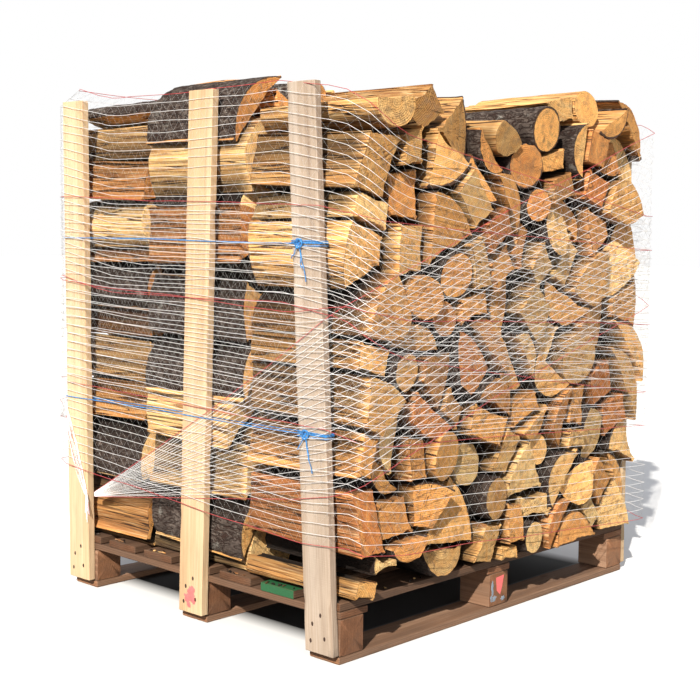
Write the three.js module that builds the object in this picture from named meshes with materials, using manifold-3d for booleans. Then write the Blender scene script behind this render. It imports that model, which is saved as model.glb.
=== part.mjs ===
// A pallet of split firewood: three rows of logs lie end to end on a block pallet,
// between two rows of upright posts that are nailed to the pallet's outer blocks.
// Twine ties each row of posts together, and a stretched net goes round everything.
// Millimetres, +Z up. The log ends face -Y, the posts stand on the -X and +X sides,
// and the origin is on the floor under the middle of the pallet.

import * as THREE from 'three';
import { mergeVertices } from 'three/addons/utils/BufferGeometryUtils.js';
import Module from 'manifold-3d';

const wasm = await Module();
wasm.setup();

// Pallet
const PALLET_X = 1200;
const PALLET_Y = 1000;
const SKID_WIDTH = 95;
const SKID_THICK = 18;
const BLOCK_LENGTH = 80;
const MIDDLE_BLOCK_LENGTH = 80;
const BLOCK_HEIGHT = 86;
const STRINGER_WIDTH = 95;
const STRINGER_THICK = 18;
const BOARD_WIDTH = 112;
const BOARD_THICK = 20;
const BOARD_COUNT = 7;
const GAP = 0.3;
const DECK_TOP = SKID_THICK + BLOCK_HEIGHT + STRINGER_THICK + BOARD_THICK + 3 * GAP;

// Posts: each leans a little along the side that it stands on.
const POST_WIDTH = 88;
const POST_THICK = 22;
const POST_BOTTOM = 22;
const POST_TOP = 1310;
const LEFT_POSTS = {
  front: { foot: -456, head: -378 },
  middle: { foot: -7, head: -41 },
  back: { foot: 456, head: 478 },
};
const RIGHT_POSTS = {
  front: { foot: -455, head: -436 },
  middle: { foot: 6, head: 22 },
  back: { foot: 455, head: 430 },
};

// Log stack
const ROW_EDGES = [-565, -172, 203, 565];
const ROW_NAMES = ['near', 'middle', 'far'];
const ROW_SEEDS = [49, 22, 25];
const ROW_GAP = 3;
const RAGGED = 55;
const STACK_HALF = 594;
const OUTER_BAND = 45;
const CEILING = 1318;
const CREST = 1362;
const LOOSE_LOGS = [8, 6, 8];
const CONTACT = 0.6;
const LIFT = 0.6;
const SPLIT_TILT = 0.55;
const SPLIT_RISE = 14;
const SHRINK = 0.4;
const CELL = 4;
const FLOOR = DECK_TOP + GAP;

// Net and twine
const NET_THICK = 2.4;
const NET_CLEAR = 5;
const NET_SIDE_HALF = 528;
const NET_BOTTOM = 250;
const NET_TOP = 1330;
const NET_ROWS = 5;
const NET_BAND = 6;
const TWINE = 2.6;
const TWINE_HEIGHTS = { upper: 950, lower: 520 };

const TURN = Math.PI * 2;

const WOOD_END = new THREE.MeshStandardMaterial({ color: 0xd9a860, roughness: 0.8 });
const WOOD_POST = new THREE.MeshStandardMaterial({ color: 0xe3c79c, roughness: 0.75 });
const WOOD_PALLET = new THREE.MeshStandardMaterial({ color: 0x8a6242, roughness: 0.85 });
const NET_YARN = new THREE.MeshStandardMaterial({ color: 0xf2f2f0, roughness: 0.5 });
const BLUE_TWINE = new THREE.MeshStandardMaterial({ color: 0x2f7fc4, roughness: 0.5 });

const group = new THREE.Group();

function addMesh(name, geometry, material, x = 0, y = 0, z = 0) {
  const mesh = new THREE.Mesh(geometry, material);
  mesh.name = name;
  mesh.position.set(x, y, z);
  group.add(mesh);
  return mesh;
}

// ---------------------------------------------------------------- sections

function seededRandom(seed) {
  let state = seed >>> 0;
  return () => {
    state = (state + 0x6d2b79f5) >>> 0;
    let mixed = Math.imul(state ^ (state >>> 15), 1 | state);
    mixed = (mixed + Math.imul(mixed ^ (mixed >>> 7), 61 | mixed)) ^ mixed;
    return ((mixed ^ (mixed >>> 14)) >>> 0) / 4294967296;
  };
}

function arc(radius, from, to, steps) {
  const points = [];
  for (let i = 0; i <= steps; i += 1) {
    const angle = from + ((to - from) * i) / steps;
    points.push([radius * Math.cos(angle), radius * Math.sin(angle)]);
  }
  return points;
}

// A wedge split out of a round log, from the pith to the bark.
function wedge(radius, angle) {
  return [[0, 0], ...arc(radius, 0, angle, angle < 1.3 ? 2 : 3)];
}

// A wedge whose thin edge at the pith has been split off.
function tiplessWedge(radius, angle, cut) {
  const inner = [radius * cut * Math.cos(angle), radius * cut * Math.sin(angle)];
  return [inner, [radius * cut, 0], ...arc(radius, 0, angle, 2)];
}

// A log split once: the bark side is an arc, the split side is its chord.
function halfLog(radius, angle) {
  return arc(radius, -angle / 2, angle / 2, 3);
}

// A four-sided piece from the heart of a log.
function splitBlock(width, height, skew) {
  return [
    [0, 0],
    [width, height * 0.12 * (skew - 0.5)],
    [width * (0.88 + 0.16 * skew), height],
    [width * 0.14 * skew, height * (1.04 - 0.1 * skew)],
  ];
}

function roundLog(radius) {
  return arc(radius, 0, (TURN * 7) / 8, 7);
}

function randomSection(random) {
  const kind = random();
  if (kind < 0.28) return wedge(142 + 88 * random(), 0.95 + 0.7 * random());
  if (kind < 0.45) return tiplessWedge(178 + 68 * random(), 0.7 + 0.45 * random(), 0.3 + 0.2 * random());
  if (kind < 0.60) return halfLog(78 + 52 * random(), 2.5 + 0.6 * random());
  if (kind < 0.68) return halfLog(128 + 40 * random(), 1.75 + 0.45 * random());
  if (kind < 0.94) {
    const width = 104 + 110 * random();
    return splitBlock(width, width * (0.5 + 0.5 * random()), random());
  }
  return roundLog(44 + 36 * random());
}

function rotated(section, angle) {
  const c = Math.cos(angle);
  const s = Math.sin(angle);
  return section.map(([x, z]) => [x * c - z * s, x * s + z * c]);
}

function moved(section, dx, dz) {
  return section.map(([x, z]) => [x + dx, z + dz]);
}

function lowest(section, axis) {
  return Math.min(...section.map((point) => point[axis]));
}

function highest(section, axis) {
  return Math.max(...section.map((point) => point[axis]));
}

function areaAndCentre(section) {
  let area = 0;
  let x = 0;
  let z = 0;
  section.forEach(([ax, az], i) => {
    const [bx, bz] = section[(i + 1) % section.length];
    const cross = ax * bz - bx * az;
    area += cross / 2;
    x += ((ax + bx) * cross) / 6;
    z += ((az + bz) * cross) / 6;
  });
  return { area, x: x / area, z: z / area };
}

// Height of a section's upper or lower side at x, or null beside it.
function sideHeight(section, x, upper) {
  let best = null;
  section.forEach(([ax, az], i) => {
    const [bx, bz] = section[(i + 1) % section.length];
    if (x < Math.min(ax, bx) || x > Math.max(ax, bx)) return;
    const level = Math.abs(bx - ax) < 1e-9;
    const flat = upper ? Math.max(az, bz) : Math.min(az, bz);
    const z = level ? flat : az + ((bz - az) * (x - ax)) / (bx - ax);
    if (best === null || (upper ? z > best : z < best)) best = z;
  });
  return best;
}

// How far a section must be raised to rest on the deck and the sections already placed.
function restHeight(section, placed) {
  const low = lowest(section, 0);
  const high = highest(section, 0);
  let rest = FLOOR + CONTACT - lowest(section, 1);
  for (const other of placed) {
    if (highest(other, 0) <= low || lowest(other, 0) >= high) continue;
    for (const [x] of section) {
      const top = sideHeight(other, x, true);
      if (top !== null) rest = Math.max(rest, top - sideHeight(section, x, false));
    }
    for (const [x] of other) {
      const under = sideHeight(section, x, false);
      if (under !== null) rest = Math.max(rest, sideHeight(other, x, true) - under);
    }
  }
  return rest;
}

// Slides a section sideways, no further than span, to where it comes to rest lowest.
function settle(section, start, span, placed) {
  const left = -STACK_HALF - lowest(section, 0);
  const right = STACK_HALF - highest(section, 0);
  let best = { x: start, z: Infinity };
  let centre = start;
  for (let reach = span; reach > 0.02; reach /= 2.5) {
    for (let i = -5; i <= 5; i += 1) {
      const x = Math.min(right, Math.max(left, centre + (i * reach) / 5));
      const z = restHeight(moved(section, x, 0), placed);
      if (z < best.z - 1e-9) best = { x, z };
    }
    centre = best.x;
  }
  return best;
}

// ---------------------------------------------------------------- stacking

// The skyline holds the height of the stack every CELL millimetres.
function newSkyline() {
  const cells = Math.floor((2 * STACK_HALF) / CELL) + 1;
  return new Array(cells).fill(FLOOR);
}

function raiseSkyline(skyline, section) {
  skyline.forEach((height, i) => {
    const top = sideHeight(section, -STACK_HALF + i * CELL, true);
    if (top !== null && top > height) skyline[i] = top;
  });
}

// Scores every place where the section would sit in a dip, and returns the best.
function bestDip(section, skyline, ceiling, random) {
  const low = lowest(section, 0);
  const width = highest(section, 0) - low;
  const top = highest(section, 1);
  const height = top - lowest(section, 1);
  const { area, x: centreX, z: centreZ } = areaAndCentre(section);
  const floor = Math.min(...skyline);
  const under = [];
  for (let x = 0; x < width + CELL; x += CELL) {
    under.push(sideHeight(section, low + Math.min(x, width - 1e-6), false));
  }
  const last = skyline.length - under.length;
  const rests = [];
  for (let k = 0; k <= last; k += 1) {
    let rest = -Infinity;
    under.forEach((z, j) => {
      rest = Math.max(rest, skyline[k + j] - z);
    });
    rests.push(rest);
  }
  let best = null;
  for (let k = 0; k <= last; k += 1) {
    const rest = rests[k];
    const x = -STACK_HALF + k * CELL - low;
    const dip = !(rests[k - 1] < rest) && !(rests[k + 1] < rest);
    if (!dip || rest + top > ceiling(x + centreX)) continue;
    let empty = 0;
    let touchLeft = k === 0 ? low : Infinity;
    let touchRight = k === last ? low + width : -Infinity;
    under.forEach((z, j) => {
      const gap = rest + z - skyline[k + j];
      empty += gap * CELL;
      if (gap < 3) {
        touchLeft = Math.min(touchLeft, low + j * CELL);
        touchRight = Math.max(touchRight, low + j * CELL);
      }
    });
    const tipping = Math.max(0, touchLeft - centreX) + Math.max(0, centreX - touchRight);
    const upright = Math.max(0, height / width - 1.5);
    const score = empty / area + 0.008 * (rest + centreZ - floor) + 0.03 * tipping
      + 0.25 * upright + 0.15 * random();
    if (best === null || score < best.score) best = { score, section, x };
  }
  return best;
}

function stackRow(seed, firstLogs, ceiling) {
  const random = seededRandom(seed);
  const skyline = newSkyline();
  const placed = [];
  const lay = (section, x, span) => {
    const { x: restX, z } = settle(section, x, span, placed);
    const log = moved(section, restX, z - CONTACT);
    placed.push(log);
    raiseSkyline(skyline, log);
  };
  firstLogs.forEach(({ section, turn, x }) => lay(rotated(section, turn), x, 3));
  let misses = 0;
  while (misses < 10) {
    let best = null;
    for (let pick = 0; pick < 6; pick += 1) {
      const section = randomSection(random);
      const start = random() * TURN;
      for (let turn = 0; turn < 20; turn += 1) {
        const dip = bestDip(rotated(section, start + (turn * TURN) / 20), skyline, ceiling, random);
        if (dip !== null && (best === null || dip.score < best.score)) best = dip;
      }
    }
    if (best === null) misses += 1;
    else lay(best.section, best.x, 5);
  }
  return placed;
}

// ---------------------------------------------------------------- the rows of logs

const DEGREE = Math.PI / 180;

// The logs at the foot of the near row, from the left corner on.
const NEAR_FOOT = [
  { section: splitBlock(66, 50, 0.5), turn: -8 * DEGREE, x: -592 },
  { section: wedge(74, 0.8), turn: 158 * DEGREE, x: -462 },
  { section: halfLog(68, 3.0), turn: -84 * DEGREE, x: -428 },
  { section: halfLog(103, 2.75), turn: -95 * DEGREE, x: -250 },
  { section: splitBlock(86, 112, 0.7), turn: -12 * DEGREE, x: -152 },
  { section: splitBlock(72, 42, 0.3), turn: 0, x: -48 },
  { section: roundLog(50), turn: 0.3, x: 84 },
  { section: splitBlock(92, 150, 0.2), turn: 3 * DEGREE, x: -594 },
];

// The top of the stack undulates between CEILING and CREST.
function ceilingOf(row) {
  return (x) => CEILING + (CREST - CEILING) * (0.5 + 0.5 * Math.cos(x / 170 + 3.6 + 1.3 * row));
}

function shuffled(count, random) {
  const order = Array.from({ length: count }, (_, i) => i);
  for (let i = count - 1; i > 0; i -= 1) {
    const j = Math.floor(random() * (i + 1));
    [order[i], order[j]] = [order[j], order[i]];
  }
  return order;
}

// Each log ends on a plane of its own: most near the face of the row, a few well inside it.
function raggedEnds(count, random) {
  return shuffled(count, random).map((rank) => {
    const share = (rank + 0.5) / count;
    return RAGGED * (0.45 * share + 0.55 * share ** 4);
  });
}

function overlapsInPlan(first, second) {
  return highest(first, 0) > lowest(second, 0) - SHRINK && lowest(first, 0) < highest(second, 0) + SHRINK;
}

// The widest gap between two convex sections along the normals of the first one's sides.
function gapFrom(first, second) {
  let widest = -Infinity;
  first.forEach(([ax, az], i) => {
    const [bx, bz] = first[(i + 1) % first.length];
    const length = Math.hypot(bx - ax, bz - az);
    const reach = second.map(([x, z]) => ((x - ax) * (bz - az) - (z - az) * (bx - ax)) / length);
    widest = Math.max(widest, Math.min(...reach));
  });
  return widest;
}

function touching(first, second) {
  return Math.max(gapFrom(first, second), gapFrom(second, first)) < -0.05;
}

// Sorts the logs into bunches in which every log touches another one.
function bunches(logs) {
  const left = [...logs];
  const found = [];
  while (left.length > 0) {
    const bunch = [left.shift()];
    for (let i = 0; i < bunch.length; i += 1) {
      for (let j = left.length - 1; j >= 0; j -= 1) {
        if (touching(bunch[i].section, left[j].section)) bunch.push(...left.splice(j, 1));
      }
    }
    found.push(bunch);
  }
  return found.sort((a, b) => b.length - a.length);
}

function logGeometry({ section, front, back }) {
  const shape = new THREE.Shape(section.map(([x, z]) => new THREE.Vector2(x, z)));
  const geometry = new THREE.ExtrudeGeometry(shape, { depth: back - front, bevelEnabled: false });
  geometry.rotateX(Math.PI / 2);
  geometry.translate(0, back, 0);
  return geometry;
}

function toSolid(geometry) {
  const bare = geometry.clone();
  bare.deleteAttribute('normal');
  bare.deleteAttribute('uv');
  const merged = mergeVertices(bare, 1e-4);
  return new wasm.Manifold(new wasm.Mesh({
    numProp: 3,
    vertProperties: new Float32Array(merged.attributes.position.array),
    triVerts: new Uint32Array(merged.index.array),
  }));
}

function toGeometry(solid) {
  const mesh = solid.getMesh();
  const geometry = new THREE.BufferGeometry();
  geometry.setAttribute('position', new THREE.BufferAttribute(mesh.vertProperties, 3));
  geometry.setIndex(new THREE.BufferAttribute(mesh.triVerts, 1));
  geometry.computeVertexNormals();
  return geometry;
}

// The part of a section under a tilted line through a point.
function lowerPart(section, x, z, tilt) {
  const rise = ([px, pz]) => (pz - z) * Math.cos(tilt) - (px - x) * Math.sin(tilt);
  return section.flatMap((point, i) => {
    const next = section[(i + 1) % section.length];
    const [here, there] = [rise(point), rise(next)];
    const kept = here < 0 ? [point] : [];
    if (here < 0 === there < 0) return kept;
    const share = here / (here - there);
    return [...kept, [point[0] + share * (next[0] - point[0]), point[1] + share * (next[1] - point[1])]];
  });
}

// A whole round log with nothing on top of it is split, and lies with its split face up.
function splitRounds(logs) {
  return logs.map((log, i) => {
    const { x, z } = areaAndCentre(log.section);
    const reaches = log.section.map(([px, pz]) => Math.hypot(px - x, pz - z));
    const isRound = Math.max(...reaches) < 1.04 * Math.min(...reaches);
    const isCovered = logs.slice(i + 1).some((later) => overlapsInPlan(later.section, log.section));
    if (!isRound || isCovered) return log;
    const tilt = SPLIT_TILT * Math.sin(x / 40);
    return { ...log, section: lowerPart(log.section, x, z + SPLIT_RISE, tilt) };
  });
}

// The logs laid last come off one by one, so they are loose: each is a little smaller
// and stands a little higher than the loose logs under it.
function loosen(logs) {
  const depths = [];
  return logs.map((log, i) => {
    const under = depths.filter((_, j) => overlapsInPlan(logs[j].section, log.section));
    depths[i] = 1 + Math.max(0, ...under);
    const { x, z } = areaAndCentre(log.section);
    const width = highest(log.section, 0) - lowest(log.section, 0);
    const scale = 1 - (2 * SHRINK) / width;
    const lift = depths[i] * (LIFT + CONTACT);
    const section = log.section.map(([px, pz]) => [x + (px - x) * scale, z + lift + (pz - z) * scale]);
    return { ...log, section };
  });
}

function mirrored(section) {
  return section.map(([x, z]) => [-x, z]).reverse();
}

// Everything under a section, down to the deck.
function withShadow(section) {
  const left = lowest(section, 0);
  const right = highest(section, 0);
  const upper = section.filter(([x, z]) => z > FLOOR + 1 && z >= sideHeight(section, x, true) - 1e-6);
  return [[left, FLOOR], [right, FLOOR], ...upper.sort((a, b) => b[0] - a[0])];
}

function joined(logs) {
  return logs.map((log) => toSolid(logGeometry(log))).reduce((whole, log) => whole.add(log));
}

// Gives every log in a row its two end planes. One face of the row is ragged, the other flush.
function withEnds(sections, row, random) {
  const ends = raggedEnds(sections.length, random);
  const raggedBack = row === ROW_NAMES.length - 1;
  return sections.map((section, i) => ({
    section,
    front: ROW_EDGES[row] + (raggedBack ? ROW_GAP : ends[i] + ROW_GAP),
    back: ROW_EDGES[row + 1] - (raggedBack ? ends[i] : 0),
  }));
}

function buildRow(row, sections) {
  const name = ROW_NAMES[row];
  const logs = withEnds(sections, row, seededRandom(ROW_SEEDS[row] + 1000));
  const stacked = logs.slice(0, -LOOSE_LOGS[row]);
  const loose = loosen(splitRounds(logs.slice(-LOOSE_LOGS[row]))).sort((a, b) => lowest(a.section, 0) - lowest(b.section, 0));
  loose.forEach((log, i) => addMesh(`${name}_top_log_${i + 1}`, logGeometry(log), WOOD_END));
  if (name === 'middle') {
    // Only the sides of this row show, so everything between its outer logs is solid.
    const front = ROW_EDGES[row] + ROW_GAP;
    const filled = stacked.map(({ section, back }) => {
      const reach = Math.max(highest(section, 0), -lowest(section, 0));
      return { front, back, section: reach > STACK_HALF - OUTER_BAND ? section : withShadow(section) };
    });
    addMesh(`${name}_row_logs`, toGeometry(joined(filled).asOriginal().simplify(0.01)), WOOD_END);
    return;
  }
  bunches(stacked).forEach((bunch, i) => {
    addMesh(i === 0 ? `${name}_row_logs` : `${name}_foot_log_${i}`, toGeometry(joined(bunch)), WOOD_END);
  });
}

function buildRows() {
  const near = stackRow(ROW_SEEDS[0], NEAR_FOOT, ceilingOf(0));
  const far = stackRow(ROW_SEEDS[2], [], ceilingOf(2));
  buildRow(0, near);
  buildRow(1, near.map(mirrored));
  buildRow(2, far);
}

// ---------------------------------------------------------------- pallet, posts, twine, net

const SIDES = { left: -1, middle: 0, right: 1 };
const DEPTHS = { front: -1, middle: 0, back: 1 };

function board(name, sizeX, sizeY, sizeZ, x, y, bottom) {
  addMesh(name, new THREE.BoxGeometry(sizeX, sizeY, sizeZ), WOOD_PALLET, x, y, bottom + sizeZ / 2);
}

function buildPallet() {
  const skidY = (PALLET_Y - SKID_WIDTH) / 2;
  const stringerX = (PALLET_X - STRINGER_WIDTH) / 2;
  const blockBottom = SKID_THICK + GAP;
  const stringerBottom = blockBottom + BLOCK_HEIGHT + GAP;
  const boardBottom = stringerBottom + STRINGER_THICK + GAP;
  Object.entries(DEPTHS).forEach(([depth, signY]) => {
    board(`skid_${depth}`, PALLET_X, SKID_WIDTH, SKID_THICK, 0, signY * skidY, 0);
    Object.entries(SIDES).forEach(([side, signX]) => {
      const x = (signX * (PALLET_X - BLOCK_LENGTH)) / 2;
      board(`block_${side}_${depth}`, BLOCK_LENGTH, SKID_WIDTH, BLOCK_HEIGHT, x, signY * skidY, blockBottom);
    });
  });
  Object.entries(SIDES).forEach(([side, signX]) => {
    board(`stringer_${side}`, STRINGER_WIDTH, PALLET_Y, STRINGER_THICK, signX * stringerX, 0, stringerBottom);
  });
  for (let i = 0; i < BOARD_COUNT; i += 1) {
    const y = (PALLET_Y - BOARD_WIDTH) * (i / (BOARD_COUNT - 1) - 0.5);
    board(`deck_board_${i + 1}`, PALLET_X, BOARD_WIDTH, BOARD_THICK, 0, y, boardBottom);
  }
}

function buildPost(name, signX, { foot, head }) {
  const half = POST_WIDTH / 2;
  const outline = [
    [foot - half, POST_BOTTOM],
    [foot + half, POST_BOTTOM],
    [head + half, POST_TOP],
    [head - half, POST_TOP],
  ];
  const shape = new THREE.Shape(outline.map(([y, z]) => new THREE.Vector2(y, z)));
  const geometry = new THREE.ExtrudeGeometry(shape, { depth: POST_THICK, bevelEnabled: false });
  geometry.rotateX(Math.PI / 2);
  geometry.rotateZ(Math.PI / 2);
  const inner = (PALLET_X / 2 + GAP) * signX;
  addMesh(name, geometry, WOOD_POST, signX > 0 ? inner : inner - POST_THICK);
}

// Twine round the three posts of one side, passing behind the outer two.
function buildTwine(name, signX, height, posts) {
  const share = (height - POST_BOTTOM) / (POST_TOP - POST_BOTTOM);
  const at = ({ foot, head }) => foot + (head - foot) * share;
  const half = POST_WIDTH / 2 + GAP + 1;
  const frontY = at(posts.front) - half;
  const backY = at(posts.back) + half;
  const innerX = PALLET_X / 2;
  const outerX = PALLET_X / 2 + POST_THICK + 2 * GAP;
  const middleX = (signX * (innerX + outerX)) / 2;
  const halfX = (outerX - innerX) / 2;
  const loop = (reach) => [
    [middleX - halfX - reach, frontY - reach],
    [middleX + halfX + reach, frontY - reach],
    [middleX + halfX + reach, backY + reach],
    [middleX - halfX - reach, backY + reach],
  ].map(([x, y]) => new THREE.Vector2(x, y));
  const shape = new THREE.Shape(loop(TWINE));
  shape.holes.push(new THREE.Path(loop(0)));
  const geometry = new THREE.ExtrudeGeometry(shape, { depth: TWINE, bevelEnabled: false });
  addMesh(name, geometry, BLUE_TWINE, 0, 0, height - TWINE / 2);
}

// The net as a lattice of bands and uprights round the posts and the log ends.
function buildNet() {
  const wideX = PALLET_X / 2 + POST_THICK + NET_CLEAR;
  const sideY = NET_SIDE_HALF;
  const logX = STACK_HALF + NET_CLEAR;
  const wideY = ROW_EDGES[3] + NET_CLEAR;
  const plan = (grow) => {
    const [x, y] = [wideX + grow, wideY + grow];
    const points = [[x, -sideY], [x, sideY], [logX, y], [-logX, y], [-x, sideY], [-x, -sideY], [-logX, -y], [logX, -y]];
    return points.map(([px, py]) => new THREE.Vector2(px, py));
  };
  const shape = new THREE.Shape(plan(NET_THICK));
  shape.holes.push(new THREE.Path(plan(0)));
  const height = NET_TOP - NET_BOTTOM;
  let net = toSolid(new THREE.ExtrudeGeometry(shape, { depth: height, bevelEnabled: false }));
  const pitch = (height - NET_BAND) / NET_ROWS;
  const openings = [
    ...spans(-sideY, sideY, 2).map(([y, width]) => [3 * PALLET_X, width, 0, y]),
    ...spans(-logX, logX, 3).map(([x, width]) => [width, 3 * PALLET_Y, x, 0]),
    ...[-1, 1].map((sign) => [wideX - logX - NET_BAND, 3 * PALLET_Y, (sign * (wideX + logX)) / 2, 0]),
  ];
  for (let i = 0; i < NET_ROWS; i += 1) {
    openings.forEach(([sizeX, sizeY, x, y]) => {
      const opening = new THREE.BoxGeometry(sizeX, sizeY, pitch - NET_BAND);
      opening.translate(x, y, NET_BAND + (pitch - NET_BAND) / 2 + i * pitch);
      net = net.subtract(toSolid(opening));
    });
  }
  addMesh('net', toGeometry(net), NET_YARN, 0, 0, NET_BOTTOM);
}

// Centres and widths of count equal openings from low to high, with a band between them.
function spans(low, high, count) {
  const step = (high - low) / count;
  return Array.from({ length: count }, (_, i) => [low + (i + 0.5) * step, step - NET_BAND]);
}

buildPallet();
buildRows();
Object.entries(LEFT_POSTS).forEach(([depth, post]) => buildPost(`post_left_${depth}`, -1, post));
Object.entries(RIGHT_POSTS).forEach(([depth, post]) => buildPost(`post_right_${depth}`, 1, post));
Object.entries(TWINE_HEIGHTS).forEach(([level, height]) => {
  buildTwine(`twine_left_${level}`, -1, height, LEFT_POSTS);
  buildTwine(`twine_right_${level}`, 1, height, RIGHT_POSTS);
});
buildNet();

export default group;
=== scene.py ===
"""The looks of a netted pallet of split firewood.

Metres, +Z up. The ends of the logs face -Y and +Y, and the posts stand on the -X and +X sides.
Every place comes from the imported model: the logs are read from the faces of its nodes.
"""

import math

import bpy
import numpy as np
from mathutils import Matrix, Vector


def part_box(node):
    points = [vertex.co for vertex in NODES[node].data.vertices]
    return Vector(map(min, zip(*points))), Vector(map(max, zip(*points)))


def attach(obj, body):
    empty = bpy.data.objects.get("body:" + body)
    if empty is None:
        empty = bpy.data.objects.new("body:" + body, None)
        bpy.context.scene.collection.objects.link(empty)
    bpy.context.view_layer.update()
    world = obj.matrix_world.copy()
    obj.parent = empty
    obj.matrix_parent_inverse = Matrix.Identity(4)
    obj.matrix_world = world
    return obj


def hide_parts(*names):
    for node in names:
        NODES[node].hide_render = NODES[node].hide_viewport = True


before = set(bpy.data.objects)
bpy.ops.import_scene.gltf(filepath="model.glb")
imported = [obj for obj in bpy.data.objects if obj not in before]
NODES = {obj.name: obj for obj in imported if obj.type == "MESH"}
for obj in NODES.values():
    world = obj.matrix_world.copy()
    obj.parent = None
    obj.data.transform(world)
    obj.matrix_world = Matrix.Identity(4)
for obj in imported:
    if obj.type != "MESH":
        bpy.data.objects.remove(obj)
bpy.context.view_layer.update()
MM = 0.001
TURN = 2 * math.pi

# ------------------------------------------------------------------ camera and light

EYE = (-2.726, -2.481, 0.989)
HEADING = 42.70
PITCH = -5.34
ROLL = 0.80
LENS = 67.9
# Each lamp's name, kind, energy, place, size (an angle for the sun) and colour.
LAMPS = (
    ("key", "SUN", 6.4, (-8, -4.0, 7.0), math.radians(0.9), (1.0, 0.955, 0.88)),
    ("fill", "AREA", 60, (-1.5, -7, 3.5), 6, (0.95, 0.97, 1.0)),
    ("rim", "AREA", 120, (5, 5, 4), 5, (1.0, 0.98, 0.95)),
)
LAMP_AIM = (0, 0, 0.7)
# The sky's colours from straight down at 0, over the horizon at 0.5, to straight up at 1.
SKY = (
    (0.45, (0.10, 0.09, 0.08)),
    (0.468, (1.0, 1.0, 1.0)),
    (0.595, (1.0, 1.0, 1.0)),
    (0.66, (0.36, 0.38, 0.42)),
)


def link_at(name, data, axes, place):
    """Adds an object whose X, Y and Z axes point as given."""
    obj = bpy.data.objects.new(name, data)
    columns = np.column_stack([*axes, place])
    obj.matrix_world = Matrix(np.vstack([columns, (0, 0, 0, 1)]).tolist())
    bpy.context.scene.collection.objects.link(obj)
    return obj


def unit(vector):
    vector = np.asarray(vector, float)
    return vector / np.linalg.norm(vector)


def add_camera():
    heading, pitch, roll = (math.radians(angle) for angle in (HEADING, PITCH, ROLL))
    forward = np.array(
        [math.cos(pitch) * math.cos(heading), math.cos(pitch) * math.sin(heading), math.sin(pitch)]
    )
    level = unit(np.cross(forward, (0, 0, 1)))
    upright = np.cross(level, forward)
    right = math.cos(roll) * level + math.sin(roll) * upright
    up = math.cos(roll) * upright - math.sin(roll) * level
    data = bpy.data.cameras.new("camera")
    data.lens = LENS
    data.sensor_width = 36
    data.clip_end = 60
    bpy.context.scene.camera = link_at("camera", data, (right, up, -forward), EYE)


def add_lamp(name, kind, energy, place, size, colour):
    lamp = bpy.data.lights.new(name, kind)
    lamp.energy = energy
    lamp.color = colour
    setattr(lamp, "angle" if kind == "SUN" else "size", size)
    away = unit(np.array(place) - LAMP_AIM)
    side = unit(np.cross((0, 0, 1), away))
    link_at(name, lamp, (side, np.cross(away, side), away), place)


def set_stops(ramp, stops):
    """Sets a colour ramp's stops; each is a place and a colour or a grey."""
    while len(ramp.elements) < len(stops):
        ramp.elements.new(0.5)
    for element, (place, colour) in zip(ramp.elements, stops):
        element.position = place
        element.color = (*colour, 1) if isinstance(colour, tuple) else (colour,) * 3 + (1,)


def add_sky():
    """A dim sky with a white band behind the object at the horizon."""
    world = bpy.data.worlds.new("studio")
    bpy.context.scene.world = world
    world.use_nodes = True
    tree = world.node_tree
    height = tree.nodes.new("ShaderNodeSeparateXYZ")
    share = tree.nodes.new("ShaderNodeMath")
    share.operation = "MULTIPLY_ADD"
    share.inputs[1].default_value = 0.5
    share.inputs[2].default_value = 0.5
    ramp = tree.nodes.new("ShaderNodeValToRGB")
    set_stops(ramp.color_ramp, SKY)
    tree.links.new(tree.nodes.new("ShaderNodeTexCoord").outputs["Generated"], height.inputs[0])
    tree.links.new(height.outputs["Z"], share.inputs[0])
    tree.links.new(share.outputs[0], ramp.inputs["Fac"])
    tree.links.new(ramp.outputs["Color"], tree.nodes["Background"].inputs["Color"])
    bpy.context.scene.view_settings.view_transform = "Standard"


# ------------------------------------------------------------------ repeatable noise


def lattice_value(x, y, z, seed):
    """A repeatable number from 0 to 1 for each whole-number point."""
    mixed = (x * 374761393 + y * 668265263 + z * 1103515245 + seed * 974634777) & 0xFFFFFFFF
    mixed = ((mixed ^ (mixed >> 13)) * 1274126177) & 0xFFFFFFFF
    mixed = ((mixed ^ (mixed >> 15)) * 2246822519) & 0xFFFFFFFF
    return ((mixed ^ (mixed >> 16)) & 0xFFFFFF) / 0xFFFFFF


def rows_of(*columns):
    """Points from columns of values; one number stands for a whole column."""
    return np.column_stack(np.broadcast_arrays(*columns))


def noise(points, scale, seed):
    """Smooth noise from -1 to 1 at each point. scale is the size of a bump along X, Y and Z."""
    spot = np.asarray(points, float) / np.asarray(scale, float) + 31.7
    cell = np.floor(spot).astype(np.int64)
    share = spot - cell
    share = share * share * (3 - 2 * share)
    total = np.zeros(len(spot))
    for corner in np.ndindex(2, 2, 2):
        weight = np.prod(np.where(corner, share, 1 - share), axis=1)
        total += weight * lattice_value(*(cell + corner).T, seed)
    return 2 * total - 1


# ------------------------------------------------------------------ mesh building


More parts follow.
